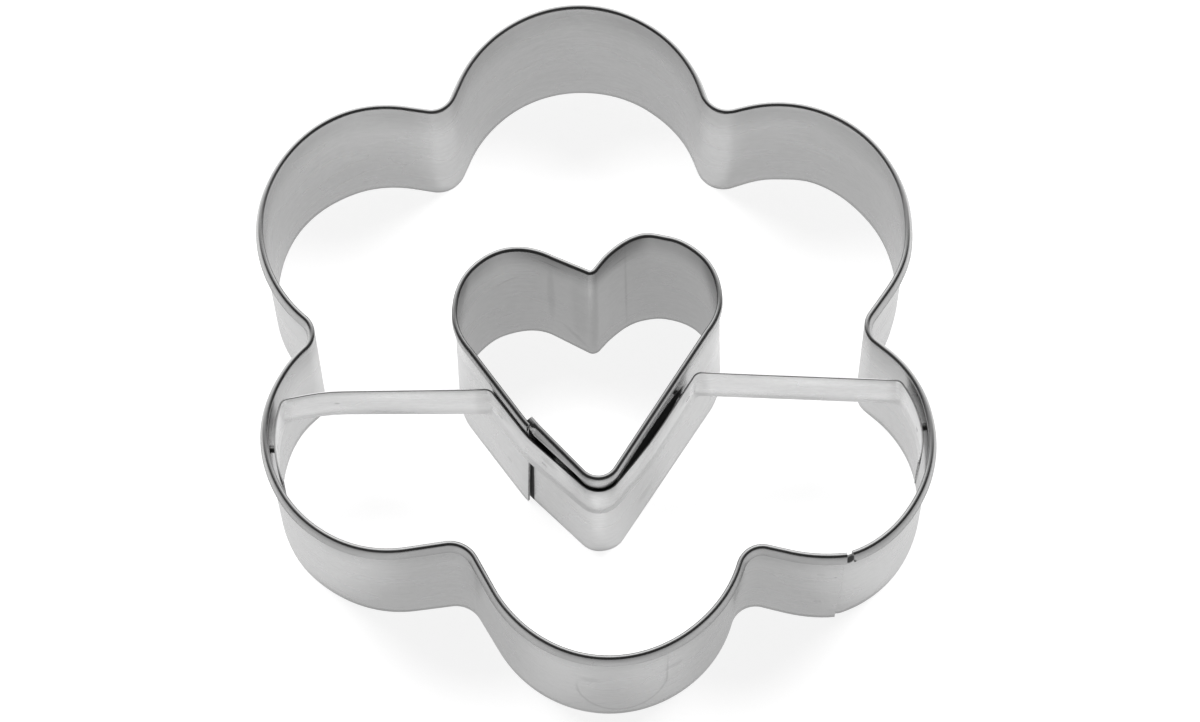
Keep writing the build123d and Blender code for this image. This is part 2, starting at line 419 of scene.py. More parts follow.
class Graph:
    """Nodes of a material, a world or a node group, added and linked in one step."""

    def __init__(self, tree: bpy.types.NodeTree) -> None:
        """Start on a tree."""
        self.tree = tree

    def add(self, kind: str, inputs: dict | None = None, **settings: object) -> bpy.types.Node:
        """Add a node.

        Args:
            kind: Type name of the node.
            inputs: A value or an output socket for each input, by name or number.
            settings: Properties of the node.

        Returns:
            The node.
        """
        node = self.tree.nodes.new(kind)
        for key, value in settings.items():
            setattr(node, key, value)
        for key, value in (inputs or {}).items():
            if isinstance(value, bpy.types.NodeSocket):
                self.tree.links.new(value, node.inputs[key])
            else:
                node.inputs[key].default_value = value
        return node

    def math(self, operation: str, *values: object) -> bpy.types.NodeSocket:
        """Output of a Math node on one to three values or sockets."""
        return self.add("ShaderNodeMath", dict(enumerate(values)), operation=operation).outputs[0]

    def vector(self, operation: str, *values: object) -> bpy.types.bpy_prop_collection:
        """Outputs of a Vector Math node on one or two values or sockets."""
        return self.add("ShaderNodeVectorMath", dict(enumerate(values)), operation=operation).outputs

    def axis(self, vector: bpy.types.NodeSocket, name: str) -> bpy.types.NodeSocket:
        """One part of a vector."""
        return self.add("ShaderNodeSeparateXYZ", {0: vector}).outputs[name]

    def grey(self, value: bpy.types.NodeSocket) -> bpy.types.NodeSocket:
        """Grey of a value."""
        return self.add("ShaderNodeCombineColor", {0: value, 1: value, 2: value}).outputs[0]

    def span(self, value: bpy.types.NodeSocket, low: object, high: object, to_low: float = 0.0,
             to_high: float = 1.0) -> bpy.types.NodeSocket:
        """Value eased from one range to another and held at its ends."""
        inputs = {"Value": value, "From Min": low, "From Max": high, "To Min": to_low, "To Max": to_high}
        return self.add("ShaderNodeMapRange", inputs, interpolation_type="SMOOTHSTEP").outputs["Result"]

    def blend(self, share: bpy.types.NodeSocket, plain: object, full: object) -> bpy.types.NodeSocket:
        """Value that goes from plain to full as a share goes from 0 to 1."""
        rest = self.math("MULTIPLY", self.math("SUBTRACT", 1.0, share), plain)
        return self.math("ADD", rest, self.math("MULTIPLY", share, full))

    def noise(self, place: bpy.types.NodeSocket, kind: Noise) -> bpy.types.NodeSocket:
        """Noise on a place.

        Args:
            place: The strip's own place.
            kind: The kind of noise.

        Returns:
            The noise, from 0 to 1.
        """
        inputs = {"Vector": place, "Scale": kind.fineness, "Location": kind.shift}
        mapped = self.add("ShaderNodeMapping", inputs).outputs["Vector"]
        inputs = {"Vector": mapped, "Scale": 1.0, "Detail": kind.detail, "Roughness": kind.roughness}
        return self.add("ShaderNodeTexNoise", inputs).outputs["Fac"]


def cleared(block: bpy.types.Material | bpy.types.World) -> Graph:
    """Empty the nodes of a new material or world.

    Args:
        block: The material or world.

    Returns:
        Its nodes.
    """
    block.use_nodes = True
    block.node_tree.nodes.clear()
    return Graph(block.node_tree)


def rolled_grain_group() -> bpy.types.NodeTree:
    """Node group of the mill's grain and the soft mottling of bent sheet.

    Returns:
        A group that takes the strip's own place in millimetres and puts out a tone around 1, a share for the
        roughness from 0 to 1, and a height.
    """
    tree = bpy.data.node_groups.new("rolled_grain", "ShaderNodeTree")
    tree.interface.new_socket("Place", in_out="INPUT", socket_type="NodeSocketVector")
    for name in ("Tone", "Dullness", "Relief"):
        tree.interface.new_socket(name, in_out="OUTPUT", socket_type="NodeSocketFloat")
    graph = Graph(tree)
    place = graph.add("NodeGroupInput").outputs["Place"]
    tone, relief = GRAIN_TONE, 0.0
    for kind, tone_share, relief_share in GRAIN_LAYERS:
        layer = graph.noise(place, kind)
        tone = graph.math("MULTIPLY_ADD", layer, tone_share, tone)
        relief = graph.math("MULTIPLY_ADD", layer, relief_share, relief)
    graph.add("NodeGroupOutput", {"Tone": tone, "Dullness": layer, "Relief": relief})
    return tree


def mark_group() -> bpy.types.NodeTree:
    """Node group of one mark: a mark of use, or a patch of painted shade, shadow or highlight.

    Returns:
        A group that takes the strip's own place and the mark's place, half size, turn, softness and
        hollowness, and puts out a mask from 0 to 1.
    """
    tree = bpy.data.node_groups.new("mark_or_painted_light", "ShaderNodeTree")
    for name in ("Place", "Centre", "Half size"):
        tree.interface.new_socket(name, in_out="INPUT", socket_type="NodeSocketVector")
    for name in ("Turn", "Soft", "Hollow"):
        tree.interface.new_socket(name, in_out="INPUT", socket_type="NodeSocketFloat")
    tree.interface.new_socket("Mask", in_out="OUTPUT", socket_type="NodeSocketFloat")
    graph = Graph(tree)
    given = graph.add("NodeGroupInput").outputs
    soft = given["Soft"]
    away = graph.vector("SUBTRACT", given["Place"], given["Centre"])["Vector"]
    flat = graph.vector("MULTIPLY", away, (1, 1, 0))["Vector"]
    turned = graph.add("ShaderNodeVectorRotate", {"Vector": flat, "Angle": given["Turn"]},
                       rotation_type="Z_AXIS", invert=True).outputs["Vector"]
    shares = graph.vector("DIVIDE", turned, given["Half size"])["Vector"]
    ragged = graph.math("SUBTRACT", graph.noise(given["Place"], RAGGED), 0.5)
    distance = graph.math("MULTIPLY_ADD", ragged, soft, graph.vector("LENGTH", shares)["Value"])
    filled = graph.span(distance, graph.math("SUBTRACT", 1.0, soft), graph.math("ADD", 1.0, soft), 1.0, 0.0)
    off_line = graph.math("ABSOLUTE", graph.math("SUBTRACT", distance, 1.0))
    line = graph.math("SUBTRACT", 1.0, graph.math("MINIMUM", 1.0, graph.math("DIVIDE", off_line, soft)))
    line = graph.math("MULTIPLY", line, graph.span(graph.axis(shares, "Y"), *LOWER_HALF, 1.0, 0.0))
    both = graph.add("ShaderNodeMix", {0: given["Hollow"], 2: filled, 3: line})
    graph.add("NodeGroupOutput", {"Mask": both.outputs[0]})
    return tree


@dataclass(frozen=True)
class SheetMaterial:
    """Material of a strip of sheet, from its finish and the node groups of the grain and of a mark."""

    finish: SheetFinish
    grain: bpy.types.NodeTree
    mark: bpy.types.NodeTree

    def marked(self, graph: Graph, place: bpy.types.NodeSocket) -> tuple[object, object]:
        """Add the marks: marks of use, and patches of painted shade, shadow and highlight.

        Args:
            graph: The material's nodes.
            place: The strip's own place.

        Returns:
            The share of the plain value that they leave, and the share of the face outside the black painted
            shadows.
            Each is a socket, or 1 where no mark changes it.
        """
        left, unshadowed = 1.0, 1.0
        outer = graph.span(graph.axis(place, "Z"), -self.finish.face_blend, self.finish.face_blend)
        faces = {0: 1.0, 1: outer, -1: graph.math("SUBTRACT", 1.0, outer)}
        for mark in self.finish.marks:
            mask = graph.add("ShaderNodeGroup", {
                "Place": place, "Centre": (mark.along, mark.height, 0),
                "Half size": (mark.half_length, mark.half_height, 1), "Turn": math.radians(mark.turn),
                "Soft": mark.soft, "Hollow": mark.hollow}, node_tree=self.mark).outputs["Mask"]
            mask = graph.math("MULTIPLY", mask, faces[mark.side])
            left = graph.math("MULTIPLY", left, graph.math("MULTIPLY_ADD", mask, mark.shade - 1, 1.0))
            if mark.shade < BLACK_BELOW:
                unshadowed = graph.math("MULTIPLY", unshadowed, graph.math("SUBTRACT", 1.0, mask))
        return left, unshadowed

    def shade(self, graph: Graph, place: bpy.types.NodeSocket) -> bpy.types.NodeSocket:
        """Share of the plain value: painted shade on the inner face and under the fold, and a darker hem with
        a painted highlight on its lip.

        Args:
            graph: The material's nodes.
            place: The strip's own place.

        Returns:
            The share.
        """
        finish = self.finish
        height, outward = graph.axis(place, "Y"), graph.axis(place, "Z")
        on_hem = graph.span(outward, finish.hem_face, finish.hem_face + finish.hem_blend)
        # Painted highlight: the lip at the hem's foot is brighter than the rest of the hem.
        low = graph.span(height, finish.hem_foot + finish.lip_from, finish.hem_foot + finish.lip_to)
        hem = graph.span(low, 0, 1, finish.lip, finish.hem)
        # Painted shade just under the fold.
        folded = graph.span(height, finish.rim - finish.fold_shade, finish.rim, 1.0, finish.painted_shade_under_fold)
        # Painted shade on the inner face.
        side = graph.span(outward, -finish.face_blend, finish.face_blend, finish.inside, 1.0)
        return graph.blend(on_hem, graph.math("MULTIPLY", folded, side), hem)

    def make(self) -> bpy.types.Material:
        """Build the material.

        Returns:
            The material.
        """
        finish = self.finish
        material = bpy.data.materials.new(finish.name)
        graph = cleared(material)
        place = graph.add("ShaderNodeAttribute", attribute_name=STRIP).outputs["Vector"]
        grain = graph.add("ShaderNodeGroup", {"Place": place}, node_tree=self.grain).outputs
        value = graph.math("MULTIPLY", grain["Tone"], self.shade(graph, place))
        value = graph.math("MULTIPLY", value, finish.plain)
        left, unshadowed = self.marked(graph, place)
        value = graph.math("MULTIPLY", value, left)
        roughness = graph.span(grain["Dullness"], *NOISE_SPREAD, finish.roughness - finish.brighter,
                               finish.roughness + finish.duller)
        # Black painted shadow: under a mark darker than BLACK_BELOW the face turns dull and not metallic.
        if isinstance(unshadowed, bpy.types.NodeSocket):
            roughness = graph.math("MAXIMUM", roughness, graph.math("SUBTRACT", 1.0, unshadowed))
        bump = graph.add("ShaderNodeBump", {
            "Strength": finish.grain_bump, "Distance": finish.grain_relief * MILLIMETRE,
            "Height": grain["Relief"]})
        shader = graph.add("ShaderNodeBsdfPrincipled", {
            "Base Color": graph.grey(value), "Metallic": unshadowed, "Roughness": roughness,
            "Normal": bump.outputs["Normal"]})
        graph.add("ShaderNodeOutputMaterial", {"Surface": shader.outputs["BSDF"]})
        return material


@dataclass(frozen=True)
class ShearedEdge:
    """Finish of the sheet's cut edges: a dull, torn face, kept dark also as painted shade of the gaps at the
    laps.
    """

    name: str = "sheared_edge"
    # dark partly as painted shade of the gaps at the laps
    dark: float = 0.20
    light: float = 0.52
    roughness: float = 0.40

    def make(self) -> bpy.types.Material:
        """Build the material.

        Returns:
            The material.
        """
        material = bpy.data.materials.new(self.name)
        graph = cleared(material)
        place = graph.add("ShaderNodeAttribute", attribute_name=STRIP).outputs["Vector"]
        value = graph.span(graph.noise(place, TORN), *NOISE_SPREAD, self.dark, self.light)
        shader = graph.add("ShaderNodeBsdfPrincipled", {
            "Base Color": graph.grey(value), "Metallic": 1.0, "Roughness": self.roughness})
        graph.add("ShaderNodeOutputMaterial", {"Surface": shader.outputs["BSDF"]})
        return material


# Sub-assemblies


@dataclass(frozen=True)
class Bow:
    """How far a strip stands outside its route at a distance along it: at its rim, its foot and its waist.

    The waist is the height at which the strap's top meets a wall. Without one, the wall is straight.
    """

    along: float
    rim: float
    foot: float
    waist: float | None = None
    waist_share: float = 0.85

    def at(self, rise: float) -> float:
        """Distance outside the route.

        Args:
            rise: Share of the strip's height.

        Returns:
            The distance, in millimetres.
        """
        waist = self.foot + (self.rim - self.foot) * self.waist_share if self.waist is None else self.waist
        if rise > self.waist_share:
            return waist + (self.rim - waist) * (rise - self.waist_share) / (1 - self.waist_share)
        return self.foot + (waist - self.foot) * rise / self.waist_share


def bow_at(bows: list[Bow], along: float, rise: float) -> float:
    """Smooth reading between the bows of a strip.

    Args:
        bows: The bows in order along the strip.
        along: Distance along the strip.
        rise: Share of the strip's height.

    Returns:
        Distance outside the route, in millimetres.
    """
    if along <= bows[0].along:
        return bows[0].at(rise)
    for first, second in zip(bows, bows[1:]):
        if along <= second.along:
            share = eased((along - first.along) / (second.along - first.along))
            return first.at(rise) + (second.at(rise) - first.at(rise)) * share
    return bows[-1].at(rise)


@dataclass
class LappedBand:
    """A band of sheet with its top edge folded outward, bent to its outline and lapped over its own start.

    The hem stands off by its gap and its splay. The tuck draws the top in at the lap's start, the flap is the
    hem's open corner there, and the slant is how far the top of the lap's end runs on.
    """

    name: str
    slot: str
    tongue: list[Arc]
    arcs: list[Arc]
    lap_start: float
    hem_start: float
    lap_end: float
    height: float
    hem_depth: float
    lead_in: float = 0.0
    tongue_drop: float = 1.1
    sheet: float = 0.25
    hem_gap: float = 0.06
    hem_splay: float = 12.0
    burr: float = 0.04
    hem_burr: float = 0.10
    wall_rows: int = 12
    bend_step: float = 2.5
    fold_steps: int = 10
    bows: list[Bow] = field(default_factory=list)
    tuck: float = 0.0
    tuck_run: float = 9.0
    tuck_from_share: float = 0.35
    tuck_rise_share: float = 0.5
    tuck_power: float = 1.5
    flap: float = 0.0
    flap_run: float = 8.0
    slant: float = 0.0
    slant_run: float = 2.5

    @property
    def crown(self) -> float:
        """Distance of the fold's axis from the wall's middle."""
        return (self.sheet + self.hem_gap) / 2

    @property
    def spring(self) -> float:
        """Height at which the fold leaves the wall."""
        return self.height - self.crown - self.sheet / 2

    @property
    def tongue_top(self) -> float:
        """Height of the plain end under the lap."""
        return self.spring - self.tongue_drop

    def section(self) -> Workpiece:
        """Model the folded section: the wall first, then the fold and the hem, which stands off a little.

        Returns:
            The section, open for editing.
        """
        half = self.sheet / 2
        piece = Workpiece(self.name, self.sheet, 0, self.tongue_top)
        piece.select(Element.EDGE, lambda at: abs(at.x - half) < TOUCHING)
        piece.add_selection(Element.EDGE, lambda at: abs(at.x + half) < TOUCHING)
        bpy.ops.mesh.subdivide(number_cuts=self.wall_rows - 1)
        piece.round_corners(lambda at: at.z < TOUCHING, self.burr)
        piece.select(Element.EDGE, lambda at: at.z > self.tongue_top - TOUCHING)
        piece.extrude(Vector((0, 0, self.tongue_drop)))
        fold = Vector((self.crown, 0, self.spring))
        piece.spin(180 - self.hem_splay, self.fold_steps, fold, Vector((0, 1, 0)))
        depth = self.hem_depth - self.crown - half
        out, down = sin_deg(self.hem_splay), cos_deg(self.hem_splay)
        piece.extrude(Vector((depth * out, 0, -depth * down)))
        lip = Vector((self.crown + (self.crown + half) * down + depth * out, 0,
                      self.spring + (self.crown + half) * out - depth * down))
        piece.round_corners(lambda at: (at - lip).length < TOUCHING, self.hem_burr)
        return piece

    def build(self) -> bpy.types.Object:
        """Sweep the section round the outline, and the plain tongue back under the lap.

        Returns:
            The finished band.
        """
        start = self.arcs[0].at(self.hem_start)
        ahead, aside = way_of(self.hem_start), right_of(self.hem_start)
        piece = self.section()
        piece.stand_at(start, self.hem_start)
        piece.select_all_faces()
        piece.sweep(Route(self.arcs, self.hem_start, self.lap_end).legs, self.bend_step)
        piece.select(Element.FACE, lambda at: abs((at - start).dot(ahead)) < TOUCHING
                     and abs((at - start).dot(aside)) < self.sheet / 2 + TOUCHING
                     and at.z < self.tongue_top + TOUCHING)
        piece.sweep(self.tongue_route().legs[::-1], self.bend_step, sense=-1)
        band = piece.finish()
        mark_strip(band, self.whole_route())
        self.bend_walls(band)
        return band

    def tongue_route(self) -> Route:
        """The plain tongue, up to where the hem starts."""
        return Route([*self.tongue, self.arcs[0]], self.lap_start, self.hem_start, self.lead_in)

    def whole_route(self) -> Route:
        """The whole strip from the start of the lap."""
        return Route([*self.tongue, *self.arcs], self.lap_start, self.lap_end, self.lead_in)

    def bend_walls(self, band: bpy.types.Object) -> None:
        """Bring the walls a little out of plumb, as hand bending leaves them, and shape the lap's ends.

        Args:
            band: The swept band, in metres.
        """
        route, hem_along = self.whole_route(), self.tongue_route().length
        for vertex in band.data.vertices:
            at = vertex.co / SCALE
            along, heading, aside = route.locate(at)
            rise = at.z / self.height
            outward = bow_at(self.bows, along, rise)
            if aside > self.crown and hem_along - TOUCHING < along < hem_along + self.flap_run:
                open_share = 1 - (along - hem_along) / self.flap_run
                outward += self.flap * open_share * max(self.spring - at.z, 0) / self.hem_depth
            lapped = 1 - eased(held((along - hem_along) / self.tuck_run))
            raised = held((rise - self.tuck_from_share) / self.tuck_rise_share)
            outward -= self.tuck * lapped * raised ** self.tuck_power
            onward = self.slant * rise * max(1 - (route.length - along) / self.slant_run, 0)
            at += right_of(heading) * outward
            at += way_of(heading) * onward
            vertex.co = at * SCALE


@dataclass
class BridgeStrap:
    """The flat strip on edge that holds the heart inside the flower."""

    name: str
    slot: str
    arcs: list[Arc]
    start: float
    end: float
    bottom: float
    top: float
    sheet: float = 0.17
    burr: float = 0.03
    bend_step: float = 4.0
    bows: list[Bow] = field(default_factory=list)

    def whole_route(self) -> Route:
        """The whole strip from its left tab."""
        return Route(self.arcs, self.start, self.end)

    def build(self) -> bpy.types.Object:
        """Sweep the strip along its bends.

        Returns:
            The finished strap.
        """
        piece = Workpiece(self.name, self.sheet, self.bottom, self.top)
        piece.round_corners(lambda at: True, self.burr)
        piece.stand_at(self.arcs[0].at(self.start), self.start)
        piece.select_all_faces()
        piece.sweep(self.whole_route().legs, self.bend_step)
        strap = piece.finish()
        mark_strip(strap, self.whole_route())
        self.lean(strap)
        return strap

    def lean(self, strap: bpy.types.Object) -> None:
        """Lean the strap with the wall that it is welded to.

        Args:
            strap: The swept strap, in metres.
        """
        route = self.whole_route()
        for vertex in strap.data.vertices:
            at = vertex.co / SCALE
            along, heading, _ = route.locate(at)
            rise = (at.z - self.bottom) / (self.top - self.bottom)
            at += right_of(heading) * bow_at(self.bows, along, rise)
            vertex.co = at * SCALE


def mark_strip(piece: bpy.types.Object, route: Route) -> None:
    """Give each vertex its own place on the strip in millimetres: length along it, height, distance outward.

    Args:
        piece: The finished piece, in metres.
        route: The line that the strip follows, in millimetres.
    """
    places = piece.data.attributes.new(STRIP, "FLOAT_VECTOR", "POINT")
    for vertex in piece.data.vertices:
        at = vertex.co / SCALE
        along, _, outward = route.locate(at)
        places.data[vertex.index].vector = (along, at.z, outward)


def bare_cut_edges(piece: bpy.types.Object, route: Route, edge: bpy.types.Material) -> None:
    """Give the sheared edges of a strip their own material: its two ends and its foot.

    Args:
        piece: The finished strip, which already has its sheet material.
        route: The line that the strip follows, in millimetres.
        edge: Material of the sheared edge.
    """
    piece.data.materials.append(edge)
    for polygon in piece.data.polygons:
        _, heading, _ = route.locate(polygon.center / SCALE)
        if abs(polygon.normal.dot(way_of(heading))) > END_FACING or polygon.normal.z < -FLAT_FACING:
            polygon.material_index = 1


@dataclass
class SpotWeld:
    """One spot weld: a nugget through the layers of sheet, flush with both faces, its rims eased."""

    name: str
    place: tuple[float, float, float]
    facing: float
    sheets: list[bpy.types.Object]
    slot: str = "weld_mark"
    radius: float = 0.38
    proud: float = 0.004
    rim: float = 0.004
    reach: float = 1.0
    sides: int = 32
    smooth_below: float = 12.0

    @property
    def axis(self) -> Vector:
        """Direction that the nugget faces."""
        return way_of(self.facing)

    def stack(self) -> list[tuple[float, Vector]]:
        """Find the faces of the sheets on the nugget's axis.

        Returns:
            Each face's distance from the nugget's place, in millimetres, and its normal, innermost first.
        """
        faces = []
        for sheet in self.sheets:
            start, hit = (Vector(self.place) + self.axis * self.reach) * SCALE, True
            while hit:
                hit, spot, normal, _ = sheet.ray_cast(start, -self.axis, distance=2 * self.reach * MILLIMETRE)
                depth = (spot / SCALE - Vector(self.place)).dot(self.axis)
                hit = hit and depth > -self.reach
                if hit:
                    faces.append((depth, normal))
                start = spot - self.axis * TOUCHING * MILLIMETRE
        return sorted(faces, key=lambda face: face[0])

    def build(self) -> bpy.types.Object:
        """Model the nugget upright, as deep as the sheets it joins, then turn it to face out of the wall.

        Returns:
            The finished nugget.
        """
        faces = self.stack()
        (inner, _), (outer, outward) = faces[0], faces[-1]
        bpy.ops.object.select_all(action="DESELECT")
        bpy.ops.mesh.primitive_cylinder_add(
            vertices=self.sides, radius=self.radius, depth=outer - inner + 2 * self.proud)
        nugget = bpy.context.object
        nugget.name = nugget.data.name = self.name + "_nugget"
        bpy.ops.object.mode_set(mode="EDIT")
        for side in (1, -1):
            bpy.ops.mesh.select_mode(type="FACE")
            bpy.ops.mesh.select_all(action="DESELECT")
            mesh = bmesh.from_edit_mesh(nugget.data)
            for face in mesh.faces:
                face.select_set(face.normal.z * side > FLAT_FACING)
            bmesh.update_edit_mesh(nugget.data)
            bpy.ops.mesh.bevel(offset=self.rim, segments=CORNER_SEGMENTS, affect="EDGES")
        bpy.ops.object.mode_set(mode="OBJECT")
        nugget.rotation_euler = outward.to_track_quat("Z", "Y").to_euler()
        nugget.location = (Vector(self.place) + self.axis * (inner + outer) / 2) * SCALE
        nugget.scale = (SCALE,) * 3
        bpy.ops.object.transform_apply(location=True, rotation=True, scale=True)
        bpy.ops.object.shade_smooth_by_angle(angle=math.radians(self.smooth_below))
        return nugget


@dataclass(frozen=True)
class Studio:
    """Plain pale floor, soft light from behind and the camera.

    The floor and the lamps are in metres, the camera's reach and target in millimetres as the pieces are
    modelled, and its angles in degrees. A turn is the range of directions, as a cosine from straight behind,
    over which a glow goes from its first strength to its second.
    """

    floor_size: float = 6.0
    floor_grey: float = 0.30
    floor_seen: float = 0.87
    floor_near: float = 0.56
    floor_reach: tuple[float, float] = (0.042, 0.060)
    floor_turn: tuple[float, float] = (-0.1, 0.9)
    floor_glow: tuple[float, float] = (0.05, 1.3)
    room_behind: tuple[float, float, float] = (-0.05, 0.999, 0.0)
    room_turn: tuple[float, float] = (0.02, 0.90)
    room_glow: tuple[float, float] = (0.05, 1.65)
    lamp_size: float = 0.35
    lamp_power: float = 9.0
    lamp_place: tuple[float, float, float] = (0.39, 0.39, 0.95)
    camera_elevation: float = 71.957
    camera_roll: float = -0.621
    camera_reach: float = 586.66
    camera_target: tuple[float, float, float] = (0.6154, 3.728, 0.0)
    camera_sensor: float = 36.0
    camera_lens: float = 172.96
    camera_clip: tuple[float, float] = (0.01, 20.0)

    def floor(self) -> None:
        """Lay the floor under the cutting edges."""
        bpy.ops.object.select_all(action="DESELECT")
        bpy.ops.mesh.primitive_plane_add(size=self.floor_size)
        floor = bpy.context.object
        floor.name = "floor"
        material = bpy.data.materials.new("pale_floor")
        graph = cleared(material)
        place = graph.add("ShaderNodeTexCoord").outputs["Object"]
        reach = graph.vector("LENGTH", place)["Value"]
        behind = graph.math("DIVIDE", graph.axis(place, "Y"), reach)
        beyond = graph.span(behind, *self.floor_turn, *self.floor_glow)
        mirrored = graph.blend(graph.span(reach, *self.floor_reach), self.floor_near, beyond)
        seen = graph.add("ShaderNodeLightPath").outputs["Is Camera Ray"]
        paper = graph.add("ShaderNodeBsdfDiffuse", {"Color": (*(self.floor_grey,) * 3, 1)})
        glow = graph.add("ShaderNodeEmission", {
            "Color": (1, 1, 1, 1), "Strength": graph.blend(seen, mirrored, self.floor_seen)})
        both = graph.add("ShaderNodeAddShader", {0: paper.outputs[0], 1: glow.outputs[0]})
        graph.add("ShaderNodeOutputMaterial", {"Surface": both.outputs[0]})
        floor.data.materials.append(material)

    def room(self) -> None:
        """White behind the object, darker over the camera, white where the camera looks past the floor."""
        world = bpy.data.worlds.new("studio_room")
        bpy.context.scene.world = world
        graph = cleared(world)
        way = graph.add("ShaderNodeTexCoord").outputs["Generated"]
        facing = graph.vector("DOT_PRODUCT", way, self.room_behind)["Value"]
        share = graph.span(facing, *self.room_turn, *self.room_glow)
        seen = graph.add("ShaderNodeLightPath").outputs["Is Camera Ray"]
        strength = graph.math("MAXIMUM", share, seen)
        glow = graph.add("ShaderNodeBackground", {"Color": (1, 1, 1, 1), "Strength": strength})
        graph.add("ShaderNodeOutputWorld", {"Surface": glow.outputs[0]})

    def lamps(self) -> None:
        """Two soft lamps high behind the object, one on each side."""
        aside, behind, above = self.lamp_place
        for name, side in (("left_lamp", -1), ("right_lamp", 1)):
            light = bpy.data.lights.new(name, "AREA")
            light.shape = "DISK"
            light.size = self.lamp_size
            light.energy = self.lamp_power
            lamp = bpy.data.objects.new(name, light)
            lamp.location = (side * aside, behind, above)
            lamp.rotation_euler = (-lamp.location).to_track_quat("-Z", "Y").to_euler()
            lamp.visible_glossy = False
            bpy.context.scene.collection.objects.link(lamp)

    def camera(self) -> None:
        """Look down on the object from the front."""
        back = Vector((0, -cos_deg(self.camera_elevation), sin_deg(self.camera_elevation)))
        level = Vector((1, 0, 0))
        upright = Vector((0, sin_deg(self.camera_elevation), cos_deg(self.camera_elevation)))
        across = level * cos_deg(self.camera_roll) + upright * sin_deg(self.camera_roll)
        up = upright * cos_deg(self.camera_roll) - level * sin_deg(self.camera_roll)
        data = bpy.data.cameras.new("camera")
        data.sensor_width = self.camera_sensor
        data.lens = self.camera_lens
        data.clip_start, data.clip_end = self.camera_clip
        camera = bpy.data.objects.new("camera", data)
        turn = Matrix((across, up, back)).transposed().to_4x4()
        place = (Vector(self.camera_target) + back * self.camera_reach) * SCALE
        camera.matrix_world = Matrix.Translation(place) @ turn
        bpy.context.scene.collection.objects.link(camera)
        bpy.context.scene.camera = camera

    def build(self) -> None:
        """Set everything up."""
        self.floor()
        self.room()
        self.lamps()
        self.camera()
        bpy.context.scene.view_settings.view_transform = "Standard"


# Sizes of this cutter, in millimetres

FLOWER_HEIGHT, FLOWER_HEM = 22.5, 1.75
HEART_HEIGHT, HEART_HEM = 24.4, 1.45
STRAP_BOTTOM, STRAP_TOP = 13.6, 20.8
STRAP_MIDDLE = (STRAP_BOTTOM + STRAP_TOP) / 2
UPPER_WELD_SHARE, LOWER_WELD_SHARE = 0.69, 0.26
HEM_FACE = 0.20


def flower() -> LappedBand:
    """The outer band with its sizes.

    Returns:
        The band, not yet built.
    """
    places = (
        (20.72, -11.87, 11.69), (28.9289, -0.2469, -2.464), (18.3478, 10.536, 12.43),
        (13.5416, 25.0089, -2.772), (-1.135, 20.7075, 12.474), (-15.6884, 24.9971, -2.596),
        (-20.1841, 10.7808, 12.21), (-29.7001, -0.3942, -2.464), (-19.7965, -10.6233, 11.77),
        (-14.1463, -24.7647, -2.992), (1.3856, -20.5095, 12.672), (15.9281, -24.86, -2.552),
        (22.6, -7.25, 16.18))
    tongue = [Arc(22.6, -7.25, 15.84), Arc(24.048, -21.818, 1.2)]
    bows = (
        (0.0, 0.05, 0.00), (6.0, 0.38, 0.05), (14.0, 0.20, 0.05), (21.0, 0.22, 0.22), (25.0, 0.30, 0.25),
        (31.0, 0.20, 0.30), (37.0, 0.15, 0.05), (41.0, 0.25, 0.00), (46.0, 0.05, 0.25), (53.0, -0.05, 0.36),
        (60.0, -0.10, 0.60), (64.0, -0.10, 0.30), (69.0, -0.10, 0.00), (75.0, 0.08, 0.05),
        (81.0, 0.12, -0.10), (89.0, 0.27, -0.20), (97.0, 0.22, -0.17), (105.0, 0.24, -0.08),
        (110.0, 0.00, -0.22), (117.0, 0.10, -0.10), (124.0, 0.03, 0.05), (131.0, 0.12, -0.10),
        (138.0, 0.10, 0.05), (144.0, 0.15, 0.10), (149.0, 0.24, 0.32), (155.0, 0.35, 0.15),
        (162.0, 0.22, 0.10), (168.0, 0.15, -0.06), (180.0, 0.00, 0.10), (189.0, 0.08, -0.02),
        (199.0, 0.22, 0.00), (209.0, 0.10, -0.10), (217.0, 0.25, -0.10), (222.0, 0.00, -0.10),
        (228.0, 0.00, 0.00))
    return LappedBand("flower_wall", "flower_sheet", tongue, [Arc(*place) for place in places],
                      lap_start=-10.5, hem_start=19.9, lap_end=4.4, height=FLOWER_HEIGHT,
                      hem_depth=FLOWER_HEM, slant=0.45, bows=[Bow(*bow) for bow in bows])


def heart() -> LappedBand:
    """The inner band with its sizes.

    Returns:
        The band, not yet built.
    """
    places = (
        (2.0714, -2.966, 11.348), (0.3554, -13.99, 2.21), (6.2574, 2.078, 6.266),
        (-0.1126, 5.432, -0.858), (-7.0546, 0.778, 6.5), (2.0714, -2.966, 11.688))
    bows = (
        (0.0, -0.35, 0.10, -0.34), (5.2, -0.35, 0.00, -0.34), (8.8, -0.28, 0.04, -0.04),
        (11.0, -0.25, 0.06, 0.04), (14.5, -0.30, 0.10, 0.00), (18.5, -0.32, 0.62, -0.25),
        (24.0, -0.34, 0.74, 0.06), (28.0, -0.48, 0.58, 0.22), (32.0, -0.60, 0.30), (37.0, -0.28, 0.15),
        (42.0, -0.15, 0.20), (45.5, 0.00, 0.00), (48.0, 0.35, -0.12), (51.0, 0.22, -0.20), (54.0, 0.30, 0.04),
        (56.5, -0.30, 0.14), (59.0, -0.10, 0.10), (64.0, 0.10, -0.28), (67.0, 0.05, -0.36),
        (72.0, -0.15, 0.00), (77.0, -0.48, 0.20, -0.30), (81.0, -0.45, 0.22, -0.34),
        (86.0, -0.40, 0.20, -0.34))
    return LappedBand("heart_wall", "heart_sheet", [], [Arc(*place) for place in places],
                      lap_start=-54.0381, hem_start=-50.0, lap_end=312.4, height=HEART_HEIGHT,
                      hem_depth=HEART_HEM, lead_in=4.2, tongue_drop=6.0, hem_gap=0.03, hem_splay=1.5,
                      bows=[Bow(*bow) for bow in bows], tuck=0.30, tuck_run=5.0, flap=0.50)


